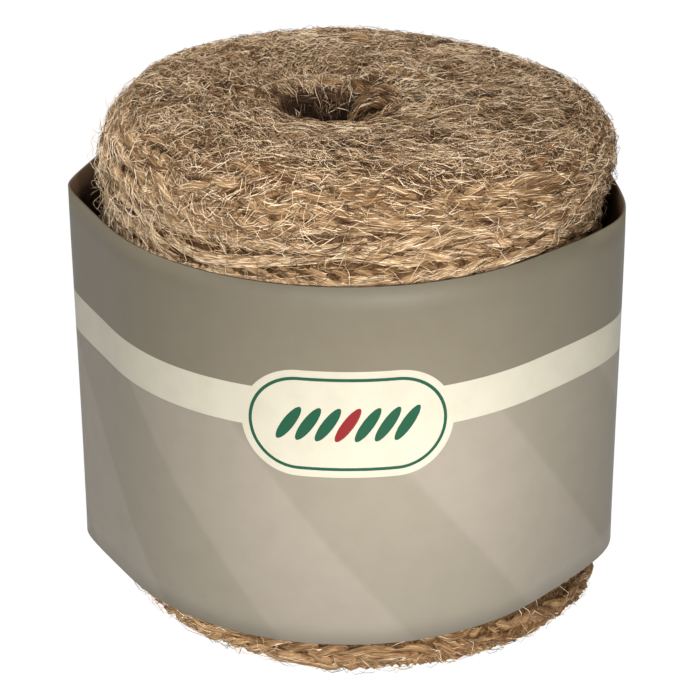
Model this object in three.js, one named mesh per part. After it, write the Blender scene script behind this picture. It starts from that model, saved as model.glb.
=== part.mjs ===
// A roll of jute twine with a card sleeve around it. Millimetres, +Z up, standing on its flat foot.
// The origin is on the floor under the middle of the sleeve; -Y is the front.
import * as THREE from 'three';

// Roll
const TWINE_PITCH = 3.1; // from one wrap of the twine to the next
const WRAP_RELIEF = 0.7; // depth of the valley between two wraps
const ROLL_RADIUS = 43.8;
const ROLL_HEIGHT = 91.9;
const ROLL_OFFSET = { x: 1.7, y: -0.3 }; // roll's axis inside the sleeve
const SQUEEZE = { mean: 0.9, swing: 0.7, azimuth: -10, least: 0 }; // the sleeve presses the winding in
const SPREAD = { none: 1, full: 5 }; // past the sleeve's rims, where the winding has its full width again
const FOOT_RADIUS = { inner: 10.5, outer: 32 }; // flat ring that the roll stands on
// Rounding of the shoulders, largest at the azimuth that is given
const LOWER_SHOULDER = { mean: 3.9, swing: 7.2, azimuth: -114, least: 2 };
const UPPER_SHOULDER = { mean: 9, swing: 2.5, azimuth: -164, least: 2 };
const CROWN_TILT = { rise: 2.6, azimuth: -140 }; // the crown is higher on that side
const CROWN_DEPTH = { none: 24, full: 6 }; // below the top, where its lumps and tilt start and are full
// The hole through the middle, off the roll's axis by x and y, with a dished and rounded upper mouth
const BORE = { radius: 7.5, lip: 10, dip: 3.5, funnel: 6, bite: 1.5, foot: 3, x: -5, y: 4.2 };
const BORE_REACH = 0.8; // share of the roll's radius over which the hole's shift fades out
const WANDER = 0.5; // how far a wrap strays from its level
const COLUMNS = 48; // grid columns around the roll
const SAMPLES_PER_WRAP = 2; // one on the crest, one in the valley
// Samples along the section; their sum is a whole number of wraps
const SAMPLES = {
  foot: 5,
  lowerShoulder: 9,
  side: 48,
  upperShoulder: 10,
  crown: 14,
  lip: 4,
  bore: 5,
  lowerLip: 3,
};

// Soft lumps of the crown: where they are and how far they rise or sink
const LUMPS = [
  { azimuth: 95, radius: 27, rise: 1.0, spread: 12 },
  { azimuth: 150, radius: 30, rise: 0.8, spread: 11 },
  { azimuth: 35, radius: 34, rise: -0.5, spread: 12 },
  { azimuth: 5, radius: 22, rise: 0.7, spread: 8 },
  { azimuth: -70, radius: 26, rise: 0.6, spread: 11 },
  { azimuth: -135, radius: 36, rise: -0.8, spread: 10 },
];

// Sleeve
const SLEEVE_RADIUS = 45; // outer face, where it hugs the roll
const SLEEVE_THICKNESS = 0.6;
const SLEEVE_BOTTOM = 11.2;
const SLEEVE_HEIGHT = 65.6;
// The two folds of the flat-packed sleeve, where its slack stands off the roll; twist is how far a fold
// has turned at the lower rim
const CREASES = [
  { azimuth: 184, reach: 1.09, soften: 3.5, twist: 5 },
  { azimuth: -20, reach: 1.16, soften: 8.6, twist: 6 },
];
const SEAM = { azimuth: 96, arc: 17, ease: 1.2 }; // glued overlap, in degrees, where the card is double
const SLEEVE_STEPS = 120;

const radians = THREE.MathUtils.degToRad;
const smoothstep = THREE.MathUtils.smoothstep;

// Signed angle from one direction to another, in radians, between -PI and PI
function turn(from, to) {
  return Math.atan2(Math.sin(to - from), Math.cos(to - from));
}

// How far the sleeve presses the winding in at a height
function squeeze(theta, height) {
  const rim = SLEEVE_BOTTOM + SLEEVE_HEIGHT;
  const inside = smoothstep(height, SLEEVE_BOTTOM - SPREAD.full, SLEEVE_BOTTOM - SPREAD.none);
  const above = smoothstep(height, rim + SPREAD.none, rim + SPREAD.full);
  return swinging(SQUEEZE, theta) * inside * (1 - above);
}

// A size that swings evenly about its mean around the roll, but never under its least
function swinging({ mean, swing, azimuth, least }, theta) {
  return Math.max(least, mean + swing * Math.cos(turn(radians(azimuth), theta)));
}

// The roll's section at one azimuth as zones, each a curve in (radius, height) with its number of samples.
// They run outwards along the foot, up the side, in over the crown and down through the bore.
function sectionZones(theta) {
  const low = swinging(LOWER_SHOULDER, theta);
  const high = swinging(UPPER_SHOULDER, theta);
  const top = ROLL_HEIGHT;
  const lipHeight = top - BORE.dip;
  const footOuter = Math.min(FOOT_RADIUS.outer, ROLL_RADIUS - low);
  const footInner = new THREE.Vector2(FOOT_RADIUS.inner, 0);
  const sideBottom = new THREE.Vector2(ROLL_RADIUS, low);
  const sideTop = new THREE.Vector2(ROLL_RADIUS, top - high);
  const crownEdge = new THREE.Vector2(ROLL_RADIUS - high, top);
  const crownMiddle = new THREE.Vector2((ROLL_RADIUS - high + BORE.lip) / 2, top);
  const lip = new THREE.Vector2(BORE.lip, lipHeight);
  const lipCorner = new THREE.Vector2(BORE.radius, lipHeight - BORE.bite);
  const boreTop = new THREE.Vector2(BORE.radius, lipHeight - BORE.funnel);
  const boreBottom = new THREE.Vector2(BORE.radius, BORE.foot);
  const boreFoot = new THREE.Vector2(BORE.radius, 0);
  const lowerArc = new THREE.EllipseCurve(footOuter, low, ROLL_RADIUS - footOuter, low, -Math.PI / 2, 0);
  const upperArc = new THREE.EllipseCurve(crownEdge.x, sideTop.y, high, high, 0, Math.PI / 2);
  return [
    { curve: new THREE.LineCurve(footInner, new THREE.Vector2(footOuter, 0)), samples: SAMPLES.foot },
    { curve: lowerArc, samples: SAMPLES.lowerShoulder },
    { curve: new THREE.LineCurve(sideBottom, sideTop), samples: SAMPLES.side },
    { curve: upperArc, samples: SAMPLES.upperShoulder },
    { curve: new THREE.QuadraticBezierCurve(crownEdge, crownMiddle, lip), samples: SAMPLES.crown },
    { curve: new THREE.QuadraticBezierCurve(lip, lipCorner, boreTop), samples: SAMPLES.lip },
    { curve: new THREE.LineCurve(boreTop, boreBottom), samples: SAMPLES.bore },
    { curve: new THREE.QuadraticBezierCurve(boreBottom, boreFoot, footInner), samples: SAMPLES.lowerLip },
  ];
}

// Point and outward normal of a section at a running sample number, which may fall between samples
function sectionPoint(zones, sample, total) {
  let rest = sample % total;
  let zone = 0;
  while (rest >= zones[zone].samples) {
    rest -= zones[zone].samples;
    zone += 1;
  }
  const share = rest / zones[zone].samples;
  const tangent = zones[zone].curve.getTangentAt(share);
  return { point: zones[zone].curve.getPointAt(share), normal: new THREE.Vector2(tangent.y, -tangent.x) };
}

// 1 where wraps show in relief, 0 on the foot and down the bore
function reliefShare(radius, height) {
  const offFoot = smoothstep(height, 0.2 * TWINE_PITCH, TWINE_PITCH);
  const offBore = smoothstep(radius, BORE.lip - TWINE_PITCH, BORE.lip + TWINE_PITCH / 2);
  return offFoot * offBore;
}

// Height that the crown's lumps and tilt add at a place seen from above
function crownRise(x, y, height) {
  const share = smoothstep(height, ROLL_HEIGHT - CROWN_DEPTH.none, ROLL_HEIGHT - CROWN_DEPTH.full);
  const radius = Math.hypot(x, y);
  const fromHighSide = turn(radians(CROWN_TILT.azimuth), Math.atan2(y, x));
  const tilt = CROWN_TILT.rise * (radius / ROLL_RADIUS) * Math.cos(fromHighSide);
  const lumps = LUMPS.reduce((sum, lump) => {
    const a = radians(lump.azimuth);
    const away = Math.hypot(x - lump.radius * Math.cos(a), y - lump.radius * Math.sin(a));
    return sum + lump.rise * Math.exp(-((away / lump.spread) ** 2));
  }, 0);
  return share * (tilt + lumps);
}

// The wound roll. Its grid follows the winding: each column starts a little further along the section,
// and after one turn it meets the next wrap, so crests and valleys run as one long helix.
function rollGeometry() {
  const total = sectionZones(0).reduce((sum, zone) => sum + zone.samples, 0);
  const positions = [];
  for (let column = 0; column < COLUMNS; column++) {
    const theta = (2 * Math.PI * column) / COLUMNS;
    const zones = sectionZones(theta);
    for (let row = 0; row < total; row++) {
      const climb = (SAMPLES_PER_WRAP * column) / COLUMNS;
      const { point, normal } = sectionPoint(zones, row + climb, total);
      const relief = reliefShare(point.x, point.y);
      const valley = row % SAMPLES_PER_WRAP === 0 ? 0 : WRAP_RELIEF;
      const r = point.x - normal.x * (valley * relief + squeeze(theta, point.y));
      const stray = WANDER * relief * Math.sin(2 * theta + point.y / TWINE_PITCH) * Math.abs(normal.x);
      const z = point.y - normal.y * valley * relief + stray;
      const inward = 1 - smoothstep(r, BORE.lip, BORE_REACH * ROLL_RADIUS);
      const x = r * Math.cos(theta) + BORE.x * inward;
      const y = r * Math.sin(theta) + BORE.y * inward;
      positions.push(x, y, Math.max(0, z + crownRise(x, y, point.y)));
    }
  }
  const index = [];
  const at = (column, row) => {
    const wrapped = column === COLUMNS; // past the last column the rows are one wrap further on
    return (wrapped ? 0 : column) * total + ((row + (wrapped ? SAMPLES_PER_WRAP : 0)) % total);
  };
  for (let column = 0; column < COLUMNS; column++) {
    for (let row = 0; row < total; row++) {
      const a = at(column, row);
      const b = at(column + 1, row);
      const c = at(column + 1, row + 1);
      const d = at(column, row + 1);
      index.push(a, b, c, a, c, d);
    }
  }
  const geometry = new THREE.BufferGeometry();
  geometry.setAttribute('position', new THREE.Float32BufferAttribute(positions, 3));
  geometry.setIndex(index);
  geometry.computeVertexNormals();
  return geometry;
}

// How far the sleeve's card stands from its axis: a circle, with straight runs out to each crease
function sleeveRadius(theta, upper) {
  return CREASES.reduce((radius, { azimuth, reach, soften, twist }) => {
    const fold = radians(upper ? azimuth : azimuth + twist);
    const away = Math.hypot(turn(fold, theta), radians(soften));
    return radius / Math.cos(Math.max(0, Math.acos(1 / reach) - away));
  }, SLEEVE_RADIUS);
}

// 1 where the glued overlap doubles the card
function seamShare(theta) {
  const fromMiddle = Math.abs(THREE.MathUtils.radToDeg(turn(radians(SEAM.azimuth), theta)));
  return 1 - smoothstep(fromMiddle, SEAM.arc / 2 - SEAM.ease, SEAM.arc / 2);
}

// One corner of the sleeve's wall: on the outer or inner face, at the upper or lower rim
function sleevePoint(theta, outer, upper) {
  const seam = outer ? SLEEVE_THICKNESS * seamShare(theta) : 0;
  const radius = sleeveRadius(theta, upper) - (outer ? 0 : SLEEVE_THICKNESS) + seam;
  return [radius * Math.cos(theta), radius * Math.sin(theta), upper ? SLEEVE_HEIGHT : 0];
}

// The sleeve is a closed wall with straight rulings from rim to rim
function sleeveGeometry() {
  const positions = [];
  const index = [];
  for (let step = 0; step < SLEEVE_STEPS; step++) {
    const theta = (2 * Math.PI * step) / SLEEVE_STEPS;
    positions.push(...sleevePoint(theta, true, false), ...sleevePoint(theta, true, true));
    positions.push(...sleevePoint(theta, false, true), ...sleevePoint(theta, false, false));
    const next = (step + 1) % SLEEVE_STEPS;
    for (let side = 0; side < 4; side++) {
      const a = 4 * step + side;
      const b = 4 * next + side;
      const c = 4 * next + ((side + 1) % 4);
      const d = 4 * step + ((side + 1) % 4);
      index.push(a, b, c, a, c, d);
    }
  }
  const geometry = new THREE.BufferGeometry();
  geometry.setAttribute('position', new THREE.Float32BufferAttribute(positions, 3));
  geometry.setIndex(index);
  geometry.computeVertexNormals();
  return geometry;
}

const twine = new THREE.MeshStandardMaterial({ color: 0xa5875f, roughness: 0.95, metalness: 0 });
const card = new THREE.MeshStandardMaterial({ color: 0xa39a88, roughness: 0.6, metalness: 0 });

const roll = new THREE.Mesh(rollGeometry(), twine);
roll.name = 'twine_roll';
roll.position.set(ROLL_OFFSET.x, ROLL_OFFSET.y, 0);

const sleeve = new THREE.Mesh(sleeveGeometry(), card);
sleeve.name = 'sleeve';
sleeve.position.set(0, 0, SLEEVE_BOTTOM);

const part = new THREE.Group();
part.add(roll, sleeve);
export default part;
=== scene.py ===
import math

import bpy
import numpy as np
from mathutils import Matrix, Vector


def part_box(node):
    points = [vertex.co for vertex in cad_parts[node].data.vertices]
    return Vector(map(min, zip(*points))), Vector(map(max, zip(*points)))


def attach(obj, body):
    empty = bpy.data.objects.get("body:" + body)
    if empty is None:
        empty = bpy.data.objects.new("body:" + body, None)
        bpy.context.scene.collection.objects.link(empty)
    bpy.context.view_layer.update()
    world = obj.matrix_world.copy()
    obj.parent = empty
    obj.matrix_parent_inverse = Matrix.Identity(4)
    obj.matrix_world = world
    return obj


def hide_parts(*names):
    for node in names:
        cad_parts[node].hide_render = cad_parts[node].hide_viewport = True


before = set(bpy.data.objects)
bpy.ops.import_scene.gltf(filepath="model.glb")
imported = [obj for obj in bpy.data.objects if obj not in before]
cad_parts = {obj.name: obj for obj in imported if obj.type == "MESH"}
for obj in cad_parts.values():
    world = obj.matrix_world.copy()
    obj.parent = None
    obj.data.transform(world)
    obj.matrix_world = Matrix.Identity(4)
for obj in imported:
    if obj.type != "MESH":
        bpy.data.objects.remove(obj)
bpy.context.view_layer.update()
MM = 0.001
SEED = 408
rng = np.random.default_rng(SEED)

# Winding: the same driving sizes as the solid that it stands for
TWINE_PITCH = 3.1
ROLL_RADIUS = 43.8
ROLL_HEIGHT = 91.9
ROLL_OFFSET = (1.7, -0.3)
SQUEEZE = dict(mean=0.9, swing=0.7, azimuth=-10, least=0)
SPREAD = dict(none=1, full=5)
FOOT_RADIUS = dict(inner=10.5, outer=32)
LOWER_SHOULDER = dict(mean=3.9, swing=7.2, azimuth=-114, least=2)
UPPER_SHOULDER = dict(mean=9, swing=2.5, azimuth=-164, least=2)
CROWN_TILT = dict(rise=2.6, azimuth=-140)
CROWN_DEPTH = dict(none=24, full=6)
BORE = dict(radius=7.5, lip=10, dip=3.5, funnel=6, bite=1.5, foot=3, x=-5, y=4.2)
BORE_REACH = 0.8
LUMPS = (
    dict(azimuth=95, radius=27, rise=1.0, spread=12),
    dict(azimuth=150, radius=30, rise=0.8, spread=11),
    dict(azimuth=35, radius=34, rise=-0.5, spread=12),
    dict(azimuth=5, radius=22, rise=0.7, spread=8),
    dict(azimuth=-70, radius=26, rise=0.6, spread=11),
    dict(azimuth=-135, radius=36, rise=-0.8, spread=10),
)
# Wraps of twine in each stretch of the section, outwards from the foot's inner edge
ZONE_WRAPS = dict(
    foot=6, lower_shoulder=5, side=24, upper_shoulder=5,
    crown=8, lip=2, bore=21, lower_lip=4,
)

# Sleeve
SLEEVE_RADIUS = 45
CARD_THICKNESS = 0.45
CREASES = (
    dict(azimuth=184, reach=1.09, soften=3.5, twist=5),
    dict(azimuth=-20, reach=1.16, soften=8.6, twist=6),
)
SEAM = dict(azimuth=96, arc=17, ease=1.2)

# Camera, fitted to the photograph
CAMERA_AT = (0, -372.5, 229.2)
CAMERA_PITCH = 26.42
CAMERA_LENS = 121.14
SENSOR = 36


def turn(start, end):
    """Signed angle from one direction to another, in radians."""
    return np.arctan2(np.sin(end - start), np.cos(end - start))


def smoothstep(x, low, high):
    """0 under low, 1 over high, with a smooth rise between them."""
    t = np.clip((x - low) / (high - low), 0, 1)
    return t * t * (3 - 2 * t)


def swinging(size, theta):
    """A size that swings evenly about its mean around the roll, never under its least."""
    wave = np.cos(turn(math.radians(size["azimuth"]), theta))
    return np.maximum(size["least"], size["mean"] + size["swing"] * wave)


def srgb(red, green, blue):
    """A colour given as screen values from 0 to 255, as Blender's linear values."""
    screen = np.array([red, green, blue]) / 255
    linear = np.where(screen <= 0.04045, screen / 12.92, ((screen + 0.055) / 1.055) ** 2.4)
    return (*linear.tolist(), 1.0)


def unit(vectors):
    """The same directions at length 1."""
    return vectors / np.maximum(1e-9, np.linalg.norm(vectors, axis=-1, keepdims=True))


def distances(points):
    """How far along a line of points each of them is."""
    return np.concatenate([[0], np.cumsum(np.linalg.norm(np.diff(points, axis=0), axis=1))])


# Section of the roll

def line(a, b, steps=24):
    t = np.linspace(0, 1, steps)[:, None]
    return np.array(a) * (1 - t) + np.array(b) * t


def bend(a, corner, b, steps=48):
    """A curve from a to b that is pulled towards the corner between them."""
    t = np.linspace(0, 1, steps)[:, None]
    return np.array(a) * (1 - t) ** 2 + 2 * np.array(corner) * t * (1 - t) + np.array(b) * t * t


def arc(centre, radii, start, end, steps=48):
    a = np.linspace(start, end, steps)
    return np.stack([centre[0] + radii[0] * np.cos(a), centre[1] + radii[1] * np.sin(a)], 1)


def section_zones(theta):
    """The section at one azimuth as named curves in (radius, height)."""
    low = float(swinging(LOWER_SHOULDER, theta))
    high = float(swinging(UPPER_SHOULDER, theta))
    top, lip_height = ROLL_HEIGHT, ROLL_HEIGHT - BORE["dip"]
    foot_outer = min(FOOT_RADIUS["outer"], ROLL_RADIUS - low)
    crown_edge = (ROLL_RADIUS - high, top)
    crown_middle = ((ROLL_RADIUS - high + BORE["lip"]) / 2, top)
    lip = (BORE["lip"], lip_height)
    bore_top = (BORE["radius"], lip_height - BORE["funnel"])
    bore_bottom = (BORE["radius"], BORE["foot"])
    foot_inner = (FOOT_RADIUS["inner"], 0)
    quarter = math.pi / 2
    return dict(
        foot=line(foot_inner, (foot_outer, 0)),
        lower_shoulder=arc((foot_outer, low), (ROLL_RADIUS - foot_outer, low), -quarter, 0),
        side=line((ROLL_RADIUS, low), (ROLL_RADIUS, top - high)),
        upper_shoulder=arc((ROLL_RADIUS - high, top - high), (high, high), 0, quarter),
        crown=bend(crown_edge, crown_middle, lip),
        lip=bend(lip, (BORE["radius"], lip_height - BORE["bite"]), bore_top),
        bore=line(bore_top, bore_bottom),
        lower_lip=bend(bore_bottom, (BORE["radius"], 0), foot_inner),
    )


def even_points(curve, count):
    """Points spaced evenly along a polyline, without its last one."""
    along = distances(curve)
    wanted = np.linspace(0, along[-1], count + 1)[:-1]
    return np.stack([np.interp(wanted, along, curve[:, k]) for k in (0, 1)], 1)


def squeeze(theta, height):
    """How far the sleeve presses the winding in at a place."""
    inside = smoothstep(height, SLEEVE_BOTTOM - SPREAD["full"], SLEEVE_BOTTOM - SPREAD["none"])
    above = smoothstep(height, SLEEVE_TOP + SPREAD["none"], SLEEVE_TOP + SPREAD["full"])
    return swinging(SQUEEZE, theta) * inside * (1 - above)


def crown_rise(x, y, height):
    """How far the crown's tilt and lumps raise a place."""
    share = smoothstep(height, ROLL_HEIGHT - CROWN_DEPTH["none"], ROLL_HEIGHT - CROWN_DEPTH["full"])
    off_high_side = turn(math.radians(CROWN_TILT["azimuth"]), np.arctan2(y, x))
    rise = CROWN_TILT["rise"] * np.hypot(x, y) / ROLL_RADIUS * np.cos(off_high_side)
    for lump in LUMPS:
        a = math.radians(lump["azimuth"])
        away = np.hypot(x - lump["radius"] * math.cos(a), y - lump["radius"] * math.sin(a))
        rise = rise + lump["rise"] * np.exp(-((away / lump["spread"]) ** 2))
    return share * rise


class Winding:
    """The roll's outer face as a grid over azimuth and wrap number, read at any place."""

    AROUND = 360
    PER_WRAP = 8

    def __init__(self):
        starts, total = {}, 0
        for zone, wraps in ZONE_WRAPS.items():
            starts[zone] = total
            total += wraps
        self.start, self.wraps = starts, total
        thetas = np.arange(self.AROUND) * 2 * math.pi / self.AROUND
        self.points = np.array([self.column(theta) for theta in thetas])
        self.normals = self.find_normals()

    def column(self, theta):
        """The section at one azimuth as points in space."""
        zones = section_zones(theta)
        counts = {zone: wraps * self.PER_WRAP for zone, wraps in ZONE_WRAPS.items()}
        curve = np.concatenate([even_points(zones[zone], count) for zone, count in counts.items()])
        radius, height = curve[:, 0], curve[:, 1]
        off_axis = smoothstep(radius, BORE["lip"], FOOT_RADIUS["outer"])
        radius = radius - squeeze(theta, height) * off_axis
        inward = 1 - smoothstep(radius, BORE["lip"], BORE_REACH * ROLL_RADIUS)
        x = radius * math.cos(theta) + BORE["x"] * inward
        y = radius * math.sin(theta) + BORE["y"] * inward
        z = np.maximum(0, height + crown_rise(x, y, height))
        return np.stack([x + ROLL_OFFSET[0], y + ROLL_OFFSET[1], z], 1)

    def find_normals(self):
        around = np.roll(self.points, -1, 0) - np.roll(self.points, 1, 0)
        along = np.roll(self.points, -1, 1) - np.roll(self.points, 1, 1)
        return unit(np.cross(around, along))

    def read(self, grid, theta, wrap):
        """Values of a grid at places between its points."""
        u = np.mod(np.asarray(theta) / (2 * math.pi), 1) * self.AROUND
        v = np.mod(np.asarray(wrap), self.wraps) * self.PER_WRAP
        iu, iv = np.floor(u).astype(int), np.floor(v).astype(int)
        fu, fv = (u - iu)[..., None], (v - iv)[..., None]
        nu, nv = self.AROUND, self.wraps * self.PER_WRAP
        a, b = grid[iu % nu, iv % nv], grid[(iu + 1) % nu, iv % nv]
        c, d = grid[iu % nu, (iv + 1) % nv], grid[(iu + 1) % nu, (iv + 1) % nv]
        return (a * (1 - fu) + b * fu) * (1 - fv) + (c * (1 - fu) + d * fu) * fv

    def point(self, theta, wrap):
        return self.read(self.points, theta, wrap)

    def normal(self, theta, wrap):
        return unit(self.read(self.normals, theta, wrap))


SLEEVE_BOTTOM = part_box("sleeve")[0].z / MM
SLEEVE_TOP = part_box("sleeve")[1].z / MM
winding = Winding()
# Wrap numbers at which the winding's upper stretches start
SHOULDER, CROWN, LIP = (winding.start[zone] for zone in ("upper_shoulder", "crown", "lip"))


# Mesh helpers

def add_mesh(name, points, faces, material, **attributes):
    """A smooth object from points in millimetres, with a value per point for each attribute."""
    mesh = bpy.data.meshes.new(name)
    mesh.from_pydata((np.asarray(points) * MM).tolist(), [], faces)
    for attribute, values in attributes.items():
        values = np.asarray(values, dtype=np.float32)
        kind, key = ("FLOAT", "value") if values.ndim == 1 else ("FLOAT_VECTOR", "vector")
        mesh.attributes.new(attribute, kind, "POINT").data.foreach_set(key, values.ravel())
    mesh.polygons.foreach_set("use_smooth", [True] * len(mesh.polygons))
    mesh.materials.append(material)
    obj = bpy.data.objects.new(name, mesh)
    bpy.context.scene.collection.objects.link(obj)
    return obj


def side_and_up(paths, ups):
    """Side and up vectors square to paths whose last two axes are steps and x, y, z."""
    tangents = unit(np.gradient(paths, axis=-2))
    sides = unit(np.cross(tangents, ups))
    return sides, np.cross(sides, tangents)


def tube_faces(rings, sides):
    """Faces of one tube: those at its two tips, and the walls between its rings."""
    around = np.arange(sides)
    after = (around + 1) % sides
    last_ring = 1 + (rings - 1) * sides
    first = np.stack([np.zeros(sides, int), 1 + after, 1 + around], 1)
    last = np.stack([np.full(sides, last_ring + sides), last_ring + around, last_ring + after], 1)
    row = 1 + np.arange(rings - 1)[:, None] * sides
    a, b = row + around, row + after
    walls = np.stack([a, b, b + sides, a + sides], -1).reshape(-1, 4)
    return np.concatenate([first, last]), walls


def tubes(paths, ups, radii, sides):
    """Closed tubes along many paths at once, pointed at both ends, and how many points each has."""
    count, steps, _ = paths.shape
    across, up = side_and_up(paths, ups)
    angles = (np.arange(sides) * 2 * math.pi / sides)[:, None]
    ring = np.cos(angles) * across[:, 1:-1, None, :] + np.sin(angles) * up[:, 1:-1, None, :]
    body = paths[:, 1:-1, None, :] + ring * radii[:, 1:-1, None, None]
    points = np.concatenate([paths[:, :1], body.reshape(count, -1, 3), paths[:, -1:]], 1)
    per = points.shape[1]
    tips, walls = tube_faces(steps - 2, sides)
    base = np.arange(count)[:, None, None] * per
    tips = (tips[None] + base).reshape(-1, 3)
    walls = (walls[None] + base).reshape(-1, 4)
    return points.reshape(-1, 3), tips.tolist() + walls.tolist(), per


# Materials

class Nodes:
    """Short calls that build one material's node tree."""

    def __init__(self, name):
        self.material = bpy.data.materials.new(name)
        self.material.use_nodes = True
        self.tree = self.material.node_tree
        self.shader = self.tree.nodes["Principled BSDF"]

    def add(self, kind, **settings):
        node = self.tree.nodes.new(kind)
        for name, value in settings.items():
            setattr(node, name, value)
        return node

    def link(self, value, socket):
        """Links another node's output to a socket, or sets the socket to a plain value."""
        if isinstance(value, bpy.types.NodeSocket):
            self.tree.links.new(value, socket)
        else:
            socket.default_value = value

    def set(self, **values):
        for name, value in values.items():
            self.link(value, self.shader.inputs[name.replace("_", " ")])

    def attribute(self, name, output="Fac"):
        return self.add("ShaderNodeAttribute", attribute_name=name).outputs[output]

    def math(self, operation, *values):
        node = self.add("ShaderNodeMath", operation=operation)
        for socket, value in zip(node.inputs, values):
            self.link(value, socket)
        return node.outputs[0]

    def plus(self, a, b):
        return self.math("ADD", a, b)

    def minus(self, a, b):
        return self.math("SUBTRACT", a, b)

    def times(self, a, b):
        return self.math("MULTIPLY", a, b)

    def over(self, a, b):
        return self.math("DIVIDE", a, b)

    def larger(self, a, b):
        return self.math("MAXIMUM", a, b)

    def size(self, a):
        return self.math("ABSOLUTE", a)

    def is_above(self, a, b):
        return self.math("GREATER_THAN", a, b)

    def is_below(self, a, b):
        return self.math("LESS_THAN", a, b)

    def mix(self, share, a, b):
        node = self.add("ShaderNodeMix", data_type="RGBA")
        for socket, value in ((node.inputs[0], share), (node.inputs[6], a), (node.inputs[7], b)):
            self.link(value, socket)
        return node.outputs[2]

    def ramp(self, value, *stops):
        node = self.add("ShaderNodeValToRGB")
        while len(node.color_ramp.elements) < len(stops):
            node.color_ramp.elements.new(0.5)
        for element, (position, colour) in zip(node.color_ramp.elements, stops):
            element.position = position
            element.color = colour
        self.link(value, node.inputs[0])
        return node.outputs[0]

    def ramp_share(self, value, low, high):
        """0 under low and 1 over high."""
        node = self.add("ShaderNodeMapRange", interpolation_type="SMOOTHSTEP")
        for socket, number in zip(node.inputs, (value, low, high, 0.0, 1.0)):
            self.link(number, socket)
        return node.outputs[0]

    def noise(self, coordinates, scale=1.0, detail=3.0, roughness=0.55):
        node = self.add("ShaderNodeTexNoise")
        self.link(coordinates, node.inputs["Vector"])
        node.inputs["Scale"].default_value = scale
        node.inputs["Detail"].default_value = detail
        node.inputs["Roughness"].default_value = roughness
        return node.outputs["Fac"]

    def bump(self, height, strength, distance):
        """Fine relief, its distance in metres."""
        node = self.add("ShaderNodeBump")
        node.inputs["Strength"].default_value = strength
        node.inputs["Distance"].default_value = distance
        self.link(height, node.inputs["Height"])
        return node.outputs["Normal"]

    def stretched(self, vector, x, y, z):
        node = self.add("ShaderNodeVectorMath", operation="MULTIPLY")
        self.link(vector, node.inputs[0])
        node.inputs[1].default_value = (x, y, z)
        return node.outputs[0]


DEEP_JUTE = srgb(44, 26, 12)
BROWN_JUTE = srgb(110, 78, 47)
TAN_JUTE = srgb(174, 141, 102)
STRAW_JUTE = srgb(229, 200, 161)
PALE_JUTE = srgb(248, 226, 194)
# Colours of the matted inside between the wraps, darker than the fibres as painted shade
CORE_SHADE_BROWN = srgb(50, 33, 18)
CORE_SHADE_TAN = srgb(122, 92, 60)
# Near black painted shade for the core down in the hole
HOLE_PAINTED_SHADE = srgb(14, 9, 5)
# What a ply's tone is made of
STREAK_WEIGHT = 0.72
BLOTCH_WEIGHT = 0.24
SHADE_WEIGHT = 0.44


def strand_material():
    """Plies of combed fibres: streaks along the lay, in coordinates that run with each ply."""
    n = Nodes("twine_ply")
    lay = n.attribute("lay", "Vector")
    streaks = n.noise(n.stretched(lay, 0.4, 3.6, 1), detail=4, roughness=0.7)
    blotches = n.noise(n.stretched(lay, 0.12, 0.8, 1), detail=2)
    grain = n.plus(n.times(streaks, STREAK_WEIGHT), n.times(blotches, BLOTCH_WEIGHT))
    tone = n.plus(grain, n.times(n.attribute("shade"), SHADE_WEIGHT))
    colour = n.ramp(tone, (0.46, DEEP_JUTE), (0.7, BROWN_JUTE), (0.88, TAN_JUTE), (1.0, STRAW_JUTE))
    n.set(Base_Color=colour, Roughness=0.85, Specular_IOR_Level=0.2)
    n.set(Normal=n.bump(streaks, 0.9, 0.0004))
    return n.material


def fibre_material():
    """Single fibres, each with its own tone."""
    n = Nodes("jute_fibre")
    dark = ((0.0, DEEP_JUTE), (0.28, BROWN_JUTE))
    pale = ((0.58, TAN_JUTE), (0.85, STRAW_JUTE), (1.0, PALE_JUTE))
    n.set(Base_Color=n.ramp(n.attribute("shade"), *dark, *pale), Roughness=0.6, Specular_IOR_Level=0.25)
    return n.material


def core_material():
    """Twine deep between the wraps, matted and painted a darker brown as shade, and nearly black down in
    the hole as painted shade.
    """
    n = Nodes("twine_core")
    place = n.add("ShaderNodeTexCoord").outputs["Object"]
    matted = n.noise(place, scale=1800, detail=4)
    outer = n.ramp(matted, (0.35, CORE_SHADE_BROWN), (0.75, CORE_SHADE_TAN))
    # Painted shade: down in the hole the core's colour turns nearly black
    n.set(Base_Color=n.mix(n.attribute("sunk"), outer, HOLE_PAINTED_SHADE), Roughness=0.95, Specular_IOR_Level=0.1)
    n.set(Normal=n.bump(matted, 0.7, 0.0005))
    return n.material


# Sleeve

CARD_AROUND = 360
CARD_ROWS = 14
# How far the card's face lies inside the solid's
CARD_INSET = 0.1
# Least gap between the card and the twine
CARD_CLEARANCE = 0.15
# Shallow waves of a band that was folded flat: how high, how many around, and how they lean
CARD_WAVES = (
    dict(height=0.10, around=3, lean=2.2, phase=0.0),
    dict(height=0.07, around=7, lean=-3.1, phase=1.0),
)


def sleeve_radius(theta, share):
    """Outer face of the solid sleeve at an azimuth, share 0 at the lower rim and 1 at the upper."""
    radius = np.full_like(theta, SLEEVE_RADIUS)
    for crease in CREASES:
        fold = math.radians(crease["azimuth"]) + math.radians(crease["twist"]) * (1 - share)
        away = np.hypot(turn(fold, theta), math.radians(crease["soften"]))
        radius = radius / np.cos(np.maximum(0, math.acos(1 / crease["reach"]) - away))
    return radius


def card_wave(theta, share, wave):
    return wave["height"] * np.sin(wave["around"] * theta + wave["lean"] * share + wave["phase"])


def card_radius(theta, share):
    """Outer face of the card: the solid's, with shallow waves that fade out at both rims."""
    waves = sum(card_wave(theta, share, wave) for wave in CARD_WAVES)
    ripple = waves * np.sin(np.pi * np.clip(share, 0, 1)) ** 0.5
    return sleeve_radius(theta, share) + ripple - CARD_INSET


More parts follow.
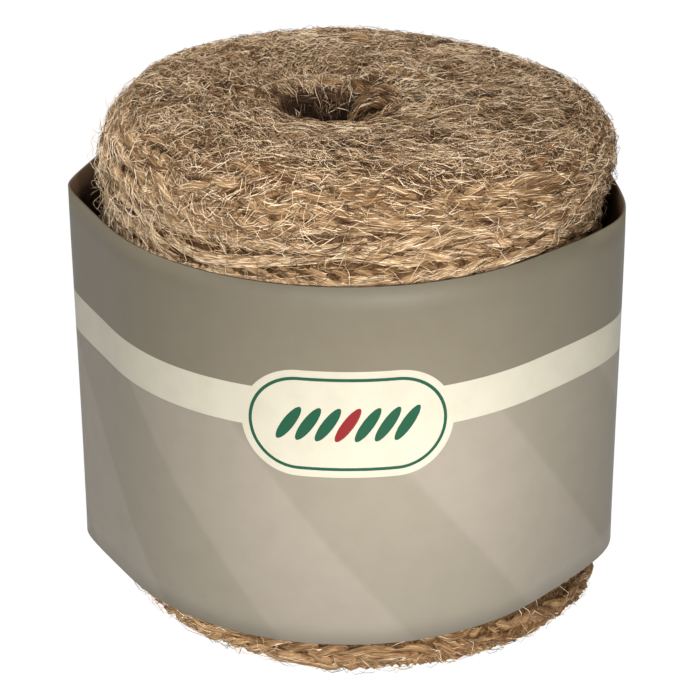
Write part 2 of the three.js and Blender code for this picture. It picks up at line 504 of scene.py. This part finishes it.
def sleeve_faces():
    """Faces of the band's outer and inner shells, and of the two rims between them."""
    rows = CARD_ROWS + 1
    inner = CARD_AROUND * rows
    faces = []
    for i in range(CARD_AROUND):
        a, b = i * rows, ((i + 1) % CARD_AROUND) * rows
        for j in range(CARD_ROWS):
            faces.append([a + j, b + j, b + j + 1, a + j + 1])
            faces.append([inner + a + j + 1, inner + b + j + 1, inner + b + j, inner + a + j])
        top_a, top_b = a + CARD_ROWS, b + CARD_ROWS
        faces.append([a, inner + a, inner + b, b])
        faces.append([top_a, top_b, inner + top_b, inner + top_a])
    return faces


def sleeve_mesh():
    """The card's points and faces, and for each point its place on the printed sheet."""
    theta = np.arange(CARD_AROUND) * 2 * math.pi / CARD_AROUND
    share = np.linspace(0, 1, CARD_ROWS + 1)
    t, s = np.meshgrid(theta, share, indexing="ij")
    outer = card_radius(t, s)
    from_seam = np.degrees(np.abs(turn(math.radians(SEAM["azimuth"]), t)))
    doubled = 1 - smoothstep(from_seam, SEAM["arc"] / 2 - SEAM["ease"], SEAM["arc"] / 2)
    z = SLEEVE_BOTTOM + (SLEEVE_TOP - SLEEVE_BOTTOM) * s
    radii = (outer + CARD_THICKNESS * doubled, outer - CARD_THICKNESS)
    shells = [np.stack([r * np.cos(t), r * np.sin(t), z], -1) for r in radii]
    points = np.concatenate([shell.reshape(-1, 3) for shell in shells])
    around = turn(-math.pi / 2, t).reshape(-1) * SLEEVE_RADIUS
    up = (z - SLEEVE_BOTTOM).reshape(-1)
    is_outside = np.concatenate([np.ones(t.size), np.zeros(t.size)])
    sheet = np.stack([np.tile(around, 2), np.tile(up, 2), is_outside], 1)
    return points, sleeve_faces(), sheet


# Print of the sleeve

TAUPE_TOP = srgb(105, 98, 83)
TAUPE_LOW = srgb(131, 123, 110)
TAUPE_LOW_DEEP = srgb(123, 116, 102)
CREAM = srgb(172, 166, 149)
# Bare card, darkened as painted shade, for the card's inner face; worn spots in the print show the same
# colour
BARE_CARD_AND_SHADE = srgb(74, 57, 42)
GREEN_INK = srgb(16, 66, 45)
RED_INK = srgb(112, 24, 26)
# Measured around from the front's middle and up from the lower rim
BANDS = dict(run=46.0, rise=60.0, from_share=0.23, to_share=0.27)
STRIPE = dict(low=40.2, high=47.2)
PANEL = dict(height=41.5, half_run=8.0, radius=9.5, frame_in=1.5, frame_half=0.28)
OVALS = dict(half_run=11.2, half_height=3.0, pitch=3.2, half_width=1.15, lean=0.6)
# How much of the bare card shows through where the print is mottled
MOTTLE_SHARE = 0.07


def slanted_bands(n, u, v):
    """0 on one band of the lower field and 1 on the next."""
    slanted = n.plus(n.over(u, BANDS["run"]), n.over(v, BANDS["rise"]))
    return n.ramp_share(n.math("PINGPONG", slanted, 0.5), BANDS["from_share"], BANDS["to_share"])


def inside_panel(n, u, up):
    """How far a place lies inside the edge of the panel, a rectangle with round ends."""
    past_run = n.larger(n.minus(n.size(u), PANEL["half_run"]), 0.0)
    square = n.plus(n.times(past_run, past_run), n.times(up, up))
    return n.minus(PANEL["radius"], n.math("SQRT", square))


def slanted_ovals(n, u, up):
    """1 inside the row of ovals, and 1 in the cell of the middle one."""
    leant = n.minus(u, n.times(up, OVALS["lean"]))
    cell = n.over(leant, OVALS["pitch"])
    nearest = n.math("ROUND", cell)
    across = n.times(n.minus(cell, nearest), OVALS["pitch"] / OVALS["half_width"])
    along = n.over(up, OVALS["half_height"])
    from_middle = n.plus(n.times(across, across), n.times(along, along))
    in_row = n.is_below(n.size(leant), OVALS["half_run"])
    return n.times(n.is_below(from_middle, 1.0), in_row), n.is_below(n.size(nearest), 0.5)


def sleeve_material():
    """Printed card: two taupe fields, slanted bands in close tones, a cream stripe and a plain panel."""
    n = Nodes("printed_card")
    sheet = n.attribute("sheet", "Vector")
    split = n.add("ShaderNodeSeparateXYZ")
    n.link(sheet, split.inputs[0])
    u, v, outside = split.outputs
    up = n.minus(v, PANEL["height"])
    to_edge = inside_panel(n, u, up)
    in_frame = n.is_below(n.size(n.minus(to_edge, PANEL["frame_in"])), PANEL["frame_half"])
    in_oval, in_middle = slanted_ovals(n, u, up)
    is_over_stripe = n.is_above(v, STRIPE["high"])
    in_stripe = n.times(n.is_above(v, STRIPE["low"]), n.is_below(v, STRIPE["high"]))
    low_field = n.mix(slanted_bands(n, u, v), TAUPE_LOW, TAUPE_LOW_DEEP)
    printed = n.mix(is_over_stripe, low_field, TAUPE_TOP)
    printed = n.mix(n.larger(in_stripe, n.is_above(to_edge, 0.0)), printed, CREAM)
    printed = n.mix(in_frame, printed, GREEN_INK)
    printed = n.mix(in_oval, printed, n.mix(in_middle, GREEN_INK, RED_INK))
    mottle = n.noise(n.stretched(sheet, 0.22, 0.22, 1.0), detail=4)
    worn = n.times(n.ramp_share(mottle, 0.35, 0.75), MOTTLE_SHARE)
    face = n.mix(worn, printed, BARE_CARD_AND_SHADE)
    grain = n.noise(n.stretched(sheet, 2.2, 2.2, 1.0), detail=3)
    # The inner face is bare card in painted shade
    n.set(Base_Color=n.mix(outside, BARE_CARD_AND_SHADE, face), Roughness=0.5, Specular_IOR_Level=0.2)
    n.set(Normal=n.bump(grain, 0.12, 0.0002))
    return n.material


# Twine

PLY_RADIUS = 0.9
PLY_OFFSET = 0.74
# Length in which the two plies twist once around each other
PLY_LAY = 12.0
STRAND_RADIUS = PLY_RADIUS + PLY_OFFSET
# How deep the matted inside lies between the wraps, its points around, and its height off the floor
CORE_DEPTH = 1.3
CORE_AROUND = 120
CORE_FLOOR = 0.4
# How deep loose fibres sink into the gap between two wraps
GAP_DEPTH = 0.8
FLOOR_GAP = 0.02
# How far past its rims the card holds the twine in
RIM_MARGIN = 0.6
# Where the hole's painted shade starts and is full, in wraps from the lip's start, and how much it
# darkens the plies and the fibres
HOLE_FADE = (-0.3, 1.3)
HOLE_SHADE_STRENGTH = dict(plies=0.7, fibres=0.9)
# Painted light: how much lighter the side is, its left besides, and the back of the crown
PAINTED_LIGHT = dict(side=0.1, left=0.22, back=0.14)
LEFT_AZIMUTH = 205
BACK_AZIMUTH = 90


def settle(points):
    """Keeps twine above the floor and inside the card."""
    points[:, 2] = np.maximum(points[:, 2], FLOOR_GAP)
    x, y, z = points.T
    share = np.clip((z - SLEEVE_BOTTOM) / (SLEEVE_TOP - SLEEVE_BOTTOM), 0, 1)
    limit = card_radius(np.arctan2(y, x), share) - CARD_THICKNESS - CARD_CLEARANCE
    held = (z > SLEEVE_BOTTOM - RIM_MARGIN) & (z < SLEEVE_TOP + RIM_MARGIN)
    radius = np.hypot(x, y)
    scale = np.where(held & (radius > limit), limit / np.maximum(1e-6, radius), 1)
    points[:, :2] *= scale[:, None]
    return points


def patches(places, seed, wavelength):
    """A smooth random field over places in millimetres, about -1 to 1."""
    local = np.random.default_rng(seed)
    total = np.zeros(places.shape[:-1])
    for _ in range(7):
        heading = unit(local.normal(size=3))
        pace = 2 * math.pi / (wavelength * local.uniform(0.7, 1.5))
        total += np.sin(places @ heading * pace + local.uniform(0, 2 * math.pi))
    return total / 2.6


def wander(along, seed, size):
    """A slow wave along a strand, the same for the same seed."""
    local = np.random.default_rng(seed)
    wave = np.zeros_like(along)
    for _ in range(5):
        swing = np.sin(along * local.uniform(0.4, 5.3) + local.uniform(0, 2 * math.pi))
        wave += swing * local.uniform(0.3, 1)
    return wave * size / 2


def in_hole(wrap):
    """Share of the hole's painted shade: 0 on the crown, 1 down in the hole."""
    start, full = HOLE_FADE
    return smoothstep(np.mod(wrap, winding.wraps), LIP + start, LIP + full)


def facing(theta, azimuth):
    """1 where the roll faces an azimuth, 0 at the opposite side."""
    return (1 + np.cos(theta - math.radians(azimuth))) / 2


def painted_light(theta, wrap):
    """Painted light: how much lighter the jute is at a place, most at the side's left, least on the
    crown's front.
    """
    left = PAINTED_LIGHT["left"] * facing(theta, LEFT_AZIMUTH) ** 5
    on_side = 1 - smoothstep(wrap, SHOULDER + 1, CROWN + 0.5)
    on_crown = (1 - on_side) * PAINTED_LIGHT["back"] * facing(theta, BACK_AZIMUTH) ** 2
    return on_side * (PAINTED_LIGHT["side"] + left) + on_crown


def core_mesh():
    """The matted inside with the hole's wall, and how far each point is down in the hole, which sets its
    painted shade.
    """
    rows = winding.wraps
    theta = np.arange(CORE_AROUND) * 2 * math.pi / CORE_AROUND
    t, w = np.meshgrid(theta, np.arange(rows), indexing="ij")
    depth = CORE_DEPTH * (1 - smoothstep(w, LIP, winding.start["bore"]))
    points = winding.point(t, w) - winding.normal(t, w) * depth[..., None]
    points[..., 2] = np.maximum(points[..., 2], CORE_FLOOR)
    i, j = np.meshgrid(np.arange(CORE_AROUND), np.arange(rows), indexing="ij")
    next_i, next_j = (i + 1) % CORE_AROUND, (j + 1) % rows
    corners = [i * rows + j, next_i * rows + j, next_i * rows + next_j, i * rows + next_j]
    faces = np.stack(corners, -1).reshape(-1, 4).tolist()
    return points.reshape(-1, 3), faces, in_hole(w).reshape(-1)


# Routes of the strands

# A route gives azimuths, wrap numbers and lifts over the winding, or a middle line in space
HELIX_POINTS = 90
SIDE_FROM = 30.0
UNDER_FROM = 31.5
LOWER_FROM, LOWER_TO = 0.5, 14.0
CROSSINGS = 16
# Strands that show singly on the crown: azimuth, sweep, first and last wrap, lift and tone
LOOSE_STRANDS = (
    (-150, 42, 35.0, 38.6, 0.45, 0.66),
    (-172, 48, 36.0, 40.2, 0.40, 0.58),
    (-118, 34, 36.2, 38.4, 0.40, 0.68),
    (-96, 30, 37.0, 38.8, 0.35, 0.62),
    (-52, 26, 38.2, 40.0, 0.50, 0.68),
    (-30, 34, 36.6, 39.4, 0.40, 0.58),
    (150, 130, 47.0, 48.6, 0.60, 0.38),
    (40, 110, 47.2, 48.4, 0.50, 0.38),
    (60, 100, 48.3, 48.9, 0.80, 0.38),
    (20, 60, 44.0, 46.5, 0.60, 0.50),
    (60, 60, 40.0, 42.5, 0.50, 0.56),
    (120, 50, 41.0, 44.0, 0.50, 0.56),
    (140, 90, 46.6, 48.0, 0.60, 0.50),
)
# Slack loop in the hole's mouth, three nested arches: start, pulled-up middle, end and tone of each. The
# lower tones of the arches further into the hole are painted shade.
SLACK_LOOP = (
    ((0.9, 9.0, 81.0), (4.5, 9.5, 94.0), (10.0, 8.5, 85.0), 0.54),
    ((0.7, 6.2, 81.0), (4.4, 7.0, 93.4), (10.0, 5.0, 84.0), 0.42),
    ((1.9, 3.6, 80.0), (5.2, 4.0, 90.4), (9.0, 2.6, 82.0), 0.24),
)
LOOP_OUTWARD = (0.0, -0.35, 1.0)


def helix_route(first, last, seed, stray, tone, lift=-0.1, unevenness=0.28):
    """The winding itself between two wrap numbers, one wrap further with each turn."""
    turns = last - first
    theta = np.linspace(0, 2 * math.pi * turns, int(turns * HELIX_POINTS))
    wrap = first + theta / (2 * math.pi) + wander(theta, seed, stray)
    heights = lift + wander(theta * 1.7, seed + 3, unevenness)
    return dict(theta=theta, wrap=wrap, lift=heights, tone=tone)


def crossing_route(azimuth, sweep, first, last, lift, tone, seed):
    """A strand that lies across the wraps, from one wrap number to another, sinking in at both ends."""
    share = np.linspace(0, 1, 60)
    theta = math.radians(azimuth) + math.radians(sweep) * share
    wrap = first + (last - first) * share + wander(share * 5, seed, 0.3)
    risen = np.sin(np.pi * share)
    heights = lift * risen**0.6 - CORE_DEPTH * (1 - risen**0.5)
    return dict(theta=theta, wrap=wrap, lift=heights, tone=tone)


def side_routes():
    return [helix_route(SIDE_FROM, SHOULDER, seed=21, stray=0.08, tone=0.82)]


def under_routes():
    """The layer beneath, which shows in the gaps between the outer wraps."""
    last = CROWN - 2.5
    return [helix_route(UNDER_FROM, last, seed=27, stray=0.05, tone=0.66, lift=-0.6, unevenness=0.1)]


def lower_routes():
    return [helix_route(LOWER_FROM, LOWER_TO, seed=25, stray=0.1, tone=0.6)]


def crown_routes():
    """The wraps of the shoulder, the crown and the hole's mouth, with strands that cross them."""
    routes = [
        helix_route(SHOULDER, CROWN + 2, seed=22, stray=0.14, tone=0.7),
        helix_route(CROWN + 2, LIP + 1.8, seed=23, stray=0.4, tone=0.46),
    ]
    for k in range(CROSSINGS):
        azimuth = k * 360 / CROSSINGS + rng.uniform(-14, 14)
        first = SHOULDER + rng.uniform(-0.5, 3.5)
        last = first + rng.uniform(3.5, 8)
        tone = rng.uniform(0.35, 0.6)
        sweep = rng.uniform(50, 120)
        lift = rng.uniform(-0.1, 0.35)
        routes.append(crossing_route(azimuth, sweep, first, last, lift, tone, seed=31 + k))
    for k, strand in enumerate(LOOSE_STRANDS):
        routes.append(crossing_route(*strand, seed=61 + k))
    return routes


def loop_routes():
    """The slack loop that bulges into the hole from its right, as arches in space."""
    routes = []
    for start, top, end, tone in SLACK_LOOP:
        share = np.linspace(0, 1, 40)[:, None]
        inner = np.array(start) * (1 - share) + np.array(top) * share
        outer = np.array(top) * (1 - share) + np.array(end) * share
        routes.append(dict(middle=inner * (1 - share) + outer * share, tone=tone))
    return routes


# Strands of two plies along the routes

def resample(theta, wrap, step):
    """Route points spaced evenly in millimetres."""
    along = distances(winding.point(theta, wrap))
    wanted = np.linspace(0, along[-1], max(6, int(along[-1] / step)))
    return np.interp(wanted, along, theta), np.interp(wanted, along, wrap)


def middle_line(route, step):
    """A route's middle points, their outward directions, and their azimuths and wrap numbers."""
    if "middle" in route:
        count = len(route["middle"])
        outward = np.tile(LOOP_OUTWARD, (count, 1))
        return route["middle"], outward, np.zeros(count), np.full(count, CROWN + 2.0)
    theta, wrap = resample(route["theta"], route["wrap"], step)
    share = np.linspace(0, 1, len(theta))
    lift = np.interp(share, np.linspace(0, 1, len(route["lift"])), route["lift"])
    outward = winding.normal(theta, wrap)
    middle = winding.point(theta, wrap) + outward * (lift - STRAND_RADIUS)[:, None]
    return middle, outward, theta, wrap


def twisted_plies(route, seed, step):
    """The two plies of one route: their paths, frames, radii, tones and heights in the strand."""
    middle, outward, theta, wrap = middle_line(route, step)
    side, up = side_and_up(middle, outward)
    along = distances(middle)
    lay = PLY_LAY * (1 + wander(along / 60, 11 * seed + 1, 0.08))
    # Painted shade down in the hole, and painted light where the ply is made lighter
    tone = route["tone"] + wander(along / 30, seed + 9, 0.06) - HOLE_SHADE_STRENGTH["plies"] * in_hole(wrap)
    tone = tone + painted_light(theta, wrap) - PAINTED_LIGHT["side"]
    plies = []
    for k in range(2):
        angle = 2 * math.pi * along / lay + math.pi * k
        path = middle + PLY_OFFSET * (np.cos(angle)[:, None] * up + np.sin(angle)[:, None] * side)
        radius = PLY_RADIUS * (1 + wander(along / 4, 2 * seed + 5 + k, 0.09))
        ply = dict(path=path, up=up, along=along, radius=radius, tone=tone)
        ply.update(height=PLY_OFFSET * np.cos(angle), seed=2 * seed + k)
        plies.append(ply)
    return plies


def find_plies(routes, step=1.35):
    return [ply for seed, route in enumerate(routes) for ply in twisted_plies(route, seed, step)]


def per_tube_point(values, sides):
    """One value for each point of a tube that has one value for each step."""
    return np.concatenate([values[:1], np.repeat(values[1:-1], sides), values[-1:]])


def ply_mesh(name, plies, material, sides=6):
    """One mesh of many plies, with coordinates that run along each."""
    all_points, all_faces, all_lay, all_shade, offset = [], [], [], [], 0
    for ply in plies:
        points, faces, _ = tubes(ply["path"][None], ply["up"][None], ply["radius"][None], sides)
        all_points.append(points)
        all_faces.extend([[v + offset for v in face] for face in faces])
        offset += len(points)
        turns = np.tile(np.arange(sides) * 2 * math.pi / sides, len(ply["along"]) - 2)
        around = np.concatenate([[0], turns, [0]])
        along = per_tube_point(ply["along"], sides)
        all_lay.append(np.stack([along, np.cos(around), np.sin(around) + ply["seed"] * 7.0], 1))
        all_shade.append(per_tube_point(ply["tone"], sides))
    points = settle(np.concatenate(all_points))
    lay, shade = np.concatenate(all_lay), np.concatenate(all_shade)
    return add_mesh(name, points, all_faces, material, lay=lay, shade=shade)


# Fibres combed along the plies

COMB = dict(length=(2.4, 5.2), radius=(0.045, 0.095), spread=0.35, height=(0.0, 0.14))
LOOP_COMB = dict(length=(2.5, 6.0), radius=(0.04, 0.075), spread=0.9, height=(0.0, 0.6))
COMB_STATIONS = np.array([-0.5, 0.0, 0.5])
COMB_DIP = np.array([-0.10, 0.0, -0.10])
COMB_TONE_SPREAD = 0.27
# Painted shade: how much darker a fibre is that faces inwards
BURIED_PAINTED_SHADE = 0.35


def read_along(at, along, vectors):
    """A ply's vectors at places along it."""
    return np.stack([np.interp(at, along, vectors[:, k]) for k in range(3)], -1)


def comb_ply(ply, size, kind):
    """Paths, outward directions, radii and tones of the fibres on one ply."""
    along = ply["along"]
    run = rng.uniform(*kind["length"], size)[:, None]
    at = rng.uniform(0, along[-1], size)[:, None] + run * COMB_STATIONS
    turned = rng.normal(0, 0.85, size)[:, None]
    angle = turned + rng.normal(0, kind["spread"], size)[:, None] * COMB_STATIONS
    side, up = side_and_up(ply["path"], ply["up"])
    upwards = np.cos(angle)[..., None] * read_along(at, along, up)
    outward = unit(upwards + np.sin(angle)[..., None] * read_along(at, along, side))
    rise = rng.uniform(*kind["height"], size)[:, None] + COMB_DIP
    away = np.interp(at, along, ply["radius"]) + rise
    path = read_along(at, along, ply["path"]) + outward * away[..., None]
    thick = rng.uniform(*kind["radius"], size)[:, None] * np.ones(3)
    outermost = np.interp(at[:, 1], along, ply["height"]) + PLY_RADIUS * np.cos(angle[:, 1])
    # Fibres that face into the strand are darker, as painted shade
    buried = 1 - outermost / STRAND_RADIUS
    tone = np.interp(at[:, 1], along, ply["tone"]) + rng.normal(0, COMB_TONE_SPREAD, size)
    return path, outward, thick, tone - BURIED_PAINTED_SHADE * buried


def combed_fibres(name, plies, count, material, kind):
    """Short fibres that lie along the plies' outer faces, shared out by length."""
    total = sum(ply["along"][-1] for ply in plies)
    sizes = [int(round(count * ply["along"][-1] / total)) for ply in plies]
    combed = [comb_ply(ply, size, kind) for ply, size in zip(plies, sizes)]
    paths, outwards, radii, tones = (np.concatenate(parts) for parts in zip(*combed))
    points, faces, per = tubes(paths, outwards, radii, 3)
    return add_mesh(name, settle(points), faces, material, shade=np.repeat(np.clip(tones, 0, 1), per))


# Loose fibres

# Spread, slant, swirl and curl are radians from the strand's own direction. Free is the share of
# fibres with one end off the roll. Tone is a mean and a spread.
LYING = dict(
    length=(3, 7), radius=(0.045, 0.08), steps=4, lift=(0.0, 0.3), free=0.1,
    spread=0.35, slant=-0.25, swirl=0.5, curl=0.6, tufts=0.5, tone=(0.38, 0.46),
)
MATTED = dict(
    length=(3, 8), radius=(0.03, 0.06), steps=4, lift=(0.1, 0.8), free=0.2,
    spread=0.9, slant=0.0, swirl=0.6, curl=1.3, tufts=0.4, tone=(0.38, 0.5),
)
MATTED_SIDE = dict(MATTED, tone=(0.42, 0.34))
CURLY = dict(
    length=(5, 11), radius=(0.028, 0.05), steps=6, lift=(0.4, 1.0), free=0.12,
    spread=1.4, slant=0.0, swirl=0.0, curl=2.2, tufts=0.5, tone=(0.5, 0.33),
)
FUZZ = dict(
    length=(1.5, 3.5), radius=(0.035, 0.06), steps=4, lift=(0.3, 1.1), free=1.0,
    spread=1.2, slant=0.0, swirl=0.0, curl=0.9, tufts=0.5, tone=(0.6, 0.22),
)
STRAY = dict(
    length=(4, 9), radius=(0.035, 0.06), steps=7, lift=(0.6, 2.6), free=0.9,
    spread=1.2, slant=0.0, swirl=0.0, curl=1.4, tufts=0.5, tone=(0.66, 0.2),
)
# Depth of a fibre's held ends, and how much its tone follows broad patches
FIBRE_ROOT = 0.18
PATCH_TONE = 0.08
# Least densities, near the hole and below a fade
LEAST_AT_HOLE = 0.12
LEAST_BELOW_FADE = 0.06


def scatter(count, first, last, azimuths, fade, tufts):
    """Random places between two wraps, in tufts, fewer near the hole and below the fade."""
    pool = count * 5
    theta = rng.uniform(math.radians(azimuths[0]), math.radians(azimuths[1]), pool)
    wrap = rng.uniform(first, last, pool)
    place = winding.point(theta, wrap)
    girth = np.hypot(place[:, 0] - ROLL_OFFSET[0], place[:, 1] - ROLL_OFFSET[1]) / ROLL_RADIUS
    chance = np.clip(girth, LEAST_AT_HOLE, 1) * (1 + tufts * patches(place, 5, 13)) / (1 + tufts)
    chance = chance * (LEAST_BELOW_FADE + (1 - LEAST_BELOW_FADE) * smoothstep(wrap, *fade))
    kept = np.flatnonzero(rng.uniform(0, 1, pool) < chance)[:count]
    return theta[kept], wrap[kept], girth[kept], place[kept]


def bearings(place, kind, share):
    """The fibres' directions at each of their steps."""
    size = len(place)
    heading = kind["slant"] + kind["swirl"] * patches(place, 6, 17) + rng.normal(0, kind["spread"], size)
    bend_over = rng.normal(0, kind["curl"], size)[:, None] * (share - 0.5)
    swing = rng.normal(0, kind["curl"] / 3, (size, 1))
    ripple = np.sin(share * 2 * math.pi * rng.uniform(0.7, 1.5, (size, 1)))
    return heading[:, None] + bend_over + swing * ripple


def walk(theta, wrap, girth, run, bearing):
    """Azimuths and wrap numbers along fibres, each of which has its place at its middle."""
    steps = bearing.shape[1]
    step = run[:, None] / (steps - 1)
    local_radius = np.maximum(3.0, girth * ROLL_RADIUS)[:, None]
    around = np.cumsum(np.cos(bearing) * step, 1)
    across = np.cumsum(np.sin(bearing) * step, 1)
    middle = slice(steps // 2, steps // 2 + 1)
    t = theta[:, None] + (around - around[:, middle]) / local_radius
    w = wrap[:, None] + (across - across[:, middle]) / TWINE_PITCH
    return t, w


def strand_envelope(theta, wrap):
    """How far the strands' faces lie below the winding's outer face at a place."""
    off = wrap - theta / (2 * math.pi)
    off = (off - np.round(off)) * TWINE_PITCH
    fall = STRAND_RADIUS - np.sqrt(np.maximum(0.0, STRAND_RADIUS**2 - off**2))
    return np.minimum(fall, GAP_DEPTH)


def fibres(name, count, first, last, material, kind, azimuths=(0, 360), fade=(0, 1)):
    """Many single fibres over the wraps from first to last."""
    share = np.linspace(0, 1, kind["steps"])
    theta, wrap, girth, place = scatter(count, first, last, azimuths, fade, kind["tufts"])
    size = len(theta)
    run = rng.uniform(*kind["length"], size)
    t, w = walk(theta, wrap, girth, run, bearings(place, kind, share))
    is_free = rng.uniform(0, 1, (size, 1)) < kind["free"]
    rise = np.where(is_free, share**1.6, np.sin(np.pi * share) ** 0.8)
    height = rng.uniform(*kind["lift"], size)[:, None] * rise - FIBRE_ROOT * (1 - rise)
    outward = winding.normal(t, w)
    sunk = strand_envelope(np.mod(t, 2 * math.pi), w)
    paths = winding.point(t, w) + outward * (height - sunk)[..., None]
    taper = np.sin(np.pi * (0.08 + 0.84 * share)) ** 0.5
    radii = rng.uniform(*kind["radius"], size)[:, None] * taper
    points, faces, per = tubes(paths, outward, radii, 3)
    tone = rng.normal(*kind["tone"], size) + PATCH_TONE * patches(place, 7, 12)
    # Painted shade down in the hole, and painted light where the fibre is made lighter
    tone = tone - HOLE_SHADE_STRENGTH["fibres"] * in_hole(wrap) + painted_light(theta, wrap)
    return add_mesh(name, settle(points), faces, material, shade=np.repeat(np.clip(tone, 0, 1), per))


# Build

# Wrap numbers from which the side and the crown show, and to which the hole's mouth does
SIDE_LOW = 31.5
CROWN_LOW = SHOULDER - 1.0
HOLE_LOW = LIP + 2.6
# Wraps over which fibres thin out towards the side
BARE_FRONT = (CROWN_LOW + 2.5, CROWN_LOW + 6.5)
LYING_FADE = (CROWN_LOW - 2, CROWN_LOW + 2)
FUZZ_FADE = (CROWN_LOW - 3, CROWN_LOW + 3)
# How many sides the plies of each stretch have
PLY_SIDES = dict(side=6, crown=6, lower=5, loop=6, under=5)


def find_strands():
    """The plies of each stretch of the winding."""
    return dict(
        side=find_plies(side_routes()),
        crown=find_plies(crown_routes()),
        lower=find_plies(lower_routes()),
        loop=find_plies(loop_routes()),
        under=find_plies(under_routes(), step=1.8),
    )


def core_and_wraps(strands):
    ply = strand_material()
    points, faces, sunk = core_mesh()
    # The sunk attribute carries the hole's painted shade into the core's colour
    core = add_mesh("twine_core", points, faces, core_material(), sunk=sunk)
    wraps = [ply_mesh(f"wraps_{name}", strands[name], ply, PLY_SIDES[name]) for name in strands]
    return [core, *wraps]


def combed_pieces(strands, fibre):
    return [
        combed_fibres("combed_under", strands["under"], 3500, fibre, COMB),
        combed_fibres("combed_loop", strands["loop"], 1800, fibre, LOOP_COMB),
        combed_fibres("combed_side", strands["side"], 23500, fibre, COMB),
        combed_fibres("combed_crown", strands["crown"], 26500, fibre, COMB),
        combed_fibres("combed_lower", strands["lower"], 8500, fibre, COMB),
    ]


def loose_pieces(fibre):
    return [
        fibres("lying_crown", 6800, SIDE_LOW + 0.5, HOLE_LOW, fibre, LYING, fade=LYING_FADE),
        fibres("matted_crown", 12500, CROWN_LOW, HOLE_LOW, fibre, MATTED, fade=BARE_FRONT),
        fibres("curly_crown", 2800, CROWN_LOW, HOLE_LOW, fibre, CURLY, fade=BARE_FRONT),
        fibres("matted_side", 900, SIDE_LOW, CROWN_LOW + 3, fibre, MATTED_SIDE),
        fibres("fuzz_crown", 2000, SIDE_LOW + 1, HOLE_LOW, fibre, FUZZ, fade=FUZZ_FADE),
        fibres("strays_crown", 25, CROWN_LOW + 3, HOLE_LOW - 1, fibre, STRAY),
        fibres("strays_gap", 170, 31.0, 35.5, fibre, STRAY, azimuths=(160, 222)),
        fibres("matted_foot", 1000, 5.0, 14.0, fibre, MATTED),
    ]


def dress_twine():
    """The whole winding. The pieces' order is also that of the random draws."""
    strands = find_strands()
    fibre = fibre_material()
    pieces = core_and_wraps(strands) + combed_pieces(strands, fibre) + loose_pieces(fibre)
    for piece in pieces:
        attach(piece, "root")
        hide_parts("twine_roll")


def dress_sleeve():
    points, faces, sheet = sleeve_mesh()
    card = add_mesh("card_sleeve", points, faces, sleeve_material(), sheet=sheet)
    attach(card, "root")
    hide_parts("sleeve")


# Studio

# What the lights face
ROLL_MIDDLE = (0, 0, 50)
BEHIND_ROLL = (0, 60, 0)
PRINT_LOW = (6, -45, 16)
PRINT_HIGH = (6, -45, 74)
WORLD_LIGHT = 0.06
FLOOR_HALF = 6000
FLOOR_GLOW = 1.02


def add_camera():
    data = bpy.data.cameras.new("photo_view")
    data.lens = CAMERA_LENS
    data.sensor_width = SENSOR
    camera = bpy.data.objects.new("photo_view", data)
    camera.location = Vector(CAMERA_AT) * MM
    camera.rotation_euler = (math.radians(90 - CAMERA_PITCH), 0, 0)
    bpy.context.scene.collection.objects.link(camera)
    bpy.context.scene.camera = camera


def direction(azimuth, elevation):
    """A direction as a vector of length 1."""
    a, e = math.radians(azimuth), math.radians(elevation)
    return Vector((math.cos(e) * math.cos(a), math.cos(e) * math.sin(a), math.sin(e)))


def add_light(name, kind, target, azimuth, elevation, away, power, **settings):
    """A light that stands off its target in a given direction and faces it."""
    data = bpy.data.lights.new(name, kind)
    data.energy = power
    for key, value in settings.items():
        setattr(data, key, value)
    light = bpy.data.objects.new(name, data)
    stand = direction(azimuth, elevation)
    light.location = (Vector(target) + stand * away) * MM
    light.rotation_euler = stand.to_track_quat("Z", "Y").to_euler()
    bpy.context.scene.collection.objects.link(light)


def add_world():
    """Faint even light from all around, and plain screen colours."""
    world = bpy.data.worlds.new("studio")
    world.use_nodes = True
    colour, strength = world.node_tree.nodes["Background"].inputs[:2]
    colour.default_value = srgb(255, 255, 255)
    strength.default_value = WORLD_LIGHT
    bpy.context.scene.world = world
    bpy.context.scene.view_settings.view_transform = "Standard"


def add_lights():
    """Two soft lights on the twine, and two narrow beams on the middle of the print."""
    front = dict(azimuth=-110, elevation=32, away=2600)
    overhead = dict(azimuth=95, elevation=80, away=2200)
    right = dict(azimuth=-70, elevation=22, away=750)
    beam = dict(spot_size=math.radians(9.5), spot_blend=1.0, shadow_soft_size=0.02)
    add_light("front", "AREA", ROLL_MIDDLE, power=36.0, size=1.0, **front)
    add_light("overhead", "AREA", BEHIND_ROLL, power=44.0, size=0.3, **overhead)
    add_light("low_beam", "SPOT", PRINT_LOW, power=26.5, **right, **beam)
    add_light("high_beam", "SPOT", PRINT_HIGH, power=26.0, **right, **beam)


def add_floor():
    """A wide white floor that glows by itself, so that it stays as white as the photo's ground."""
    n = Nodes("glowing_floor")
    n.set(Base_Color=srgb(0, 0, 0), Roughness=1.0, Specular_IOR_Level=0.0)
    n.set(Emission_Color=srgb(255, 255, 255), Emission_Strength=FLOOR_GLOW)
    h = FLOOR_HALF
    corners = [(-h, -h, 0), (h, -h, 0), (h, h, 0), (-h, h, 0)]
    add_mesh("floor", corners, [[0, 1, 2, 3]], n.material)


dress_twine()
dress_sleeve()
add_camera()
add_world()
add_lights()
add_floor()
